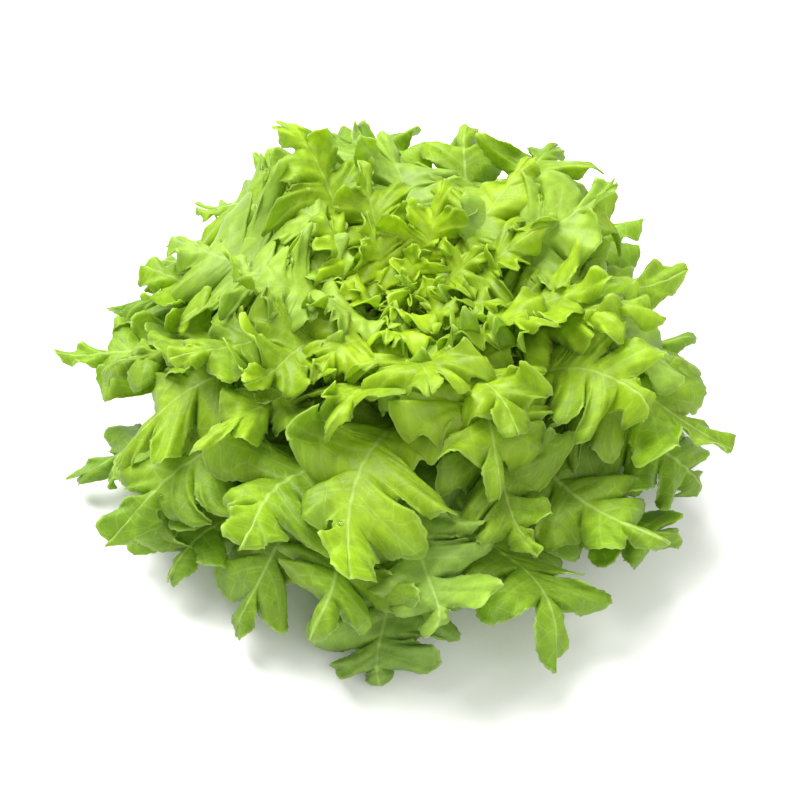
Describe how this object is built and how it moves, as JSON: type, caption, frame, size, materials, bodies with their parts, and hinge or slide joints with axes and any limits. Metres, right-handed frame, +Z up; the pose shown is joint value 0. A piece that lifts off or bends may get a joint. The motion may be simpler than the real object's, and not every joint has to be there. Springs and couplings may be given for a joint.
{
  "type": "oak leaf lettuce",
  "caption": "Whole head of green oak leaf lettuce: loose lobed, ruffled leaves in a dense rosette on a short cut stem, standing on its cut face.",
  "frame": {"origin": "centre of the stem's flat cut face, on the surface that the head stands on", "axes": "+Z up along the stem towards the heart, -Y towards the front of the head, +X to the right seen from the front"},
  "size_m": [0.2764, 0.2842, 0.1133],
  "materials": {
    "outer_leaf": "waxy leaf, satin",
    "inner_leaf": "tender leaf, satin",
    "heart_leaf": "young crisped leaf, satin",
    "stem": "moist cut stem"
  },
  "bodies": {
    "root": {"stem": "stem", "heart": "heart_leaf", "leaf_01": "outer_leaf", "leaf_02": "outer_leaf", "leaf_03": "outer_leaf", "leaf_04": "outer_leaf", "leaf_05": "outer_leaf", "leaf_06": "outer_leaf", "leaf_07": "outer_leaf", "leaf_08": "outer_leaf", "leaf_09": "outer_leaf", "leaf_10": "outer_leaf", "leaf_11": "outer_leaf", "leaf_12": "outer_leaf", "leaf_13": "outer_leaf", "leaf_14": "outer_leaf", "leaf_15": "outer_leaf", "leaf_16": "outer_leaf", "leaf_17": "outer_leaf", "leaf_18": "outer_leaf", "leaf_19": "outer_leaf", "leaf_20": "outer_leaf", "leaf_21": "outer_leaf", "leaf_22": "outer_leaf", "leaf_23": "outer_leaf", "leaf_24": "outer_leaf", "leaf_25": "outer_leaf", "leaf_26": "outer_leaf", "leaf_27": "outer_leaf", "leaf_28": "outer_leaf", "leaf_29": "outer_leaf", "leaf_30": "outer_leaf", "leaf_31": "outer_leaf", "leaf_32": "outer_leaf", "leaf_33": "outer_leaf", "leaf_34": "outer_leaf", "leaf_35": "outer_leaf", "leaf_36": "outer_leaf", "leaf_37": "inner_leaf", "leaf_38": "inner_leaf", "leaf_39": "inner_leaf", "leaf_40": "inner_leaf", "leaf_41": "inner_leaf", "leaf_42": "inner_leaf", "leaf_43": "inner_leaf", "leaf_44": "inner_leaf", "leaf_45": "inner_leaf", "leaf_46": "inner_leaf", "leaf_47": "inner_leaf", "leaf_48": "inner_leaf", "leaf_49": "inner_leaf", "leaf_50": "inner_leaf", "leaf_51": "inner_leaf", "leaf_52": "inner_leaf", "leaf_53": "inner_leaf", "leaf_54": "inner_leaf", "leaf_55": "inner_leaf", "leaf_56": "inner_leaf", "leaf_57": "inner_leaf", "leaf_58": "inner_leaf"}
  },
  "joints": []
}
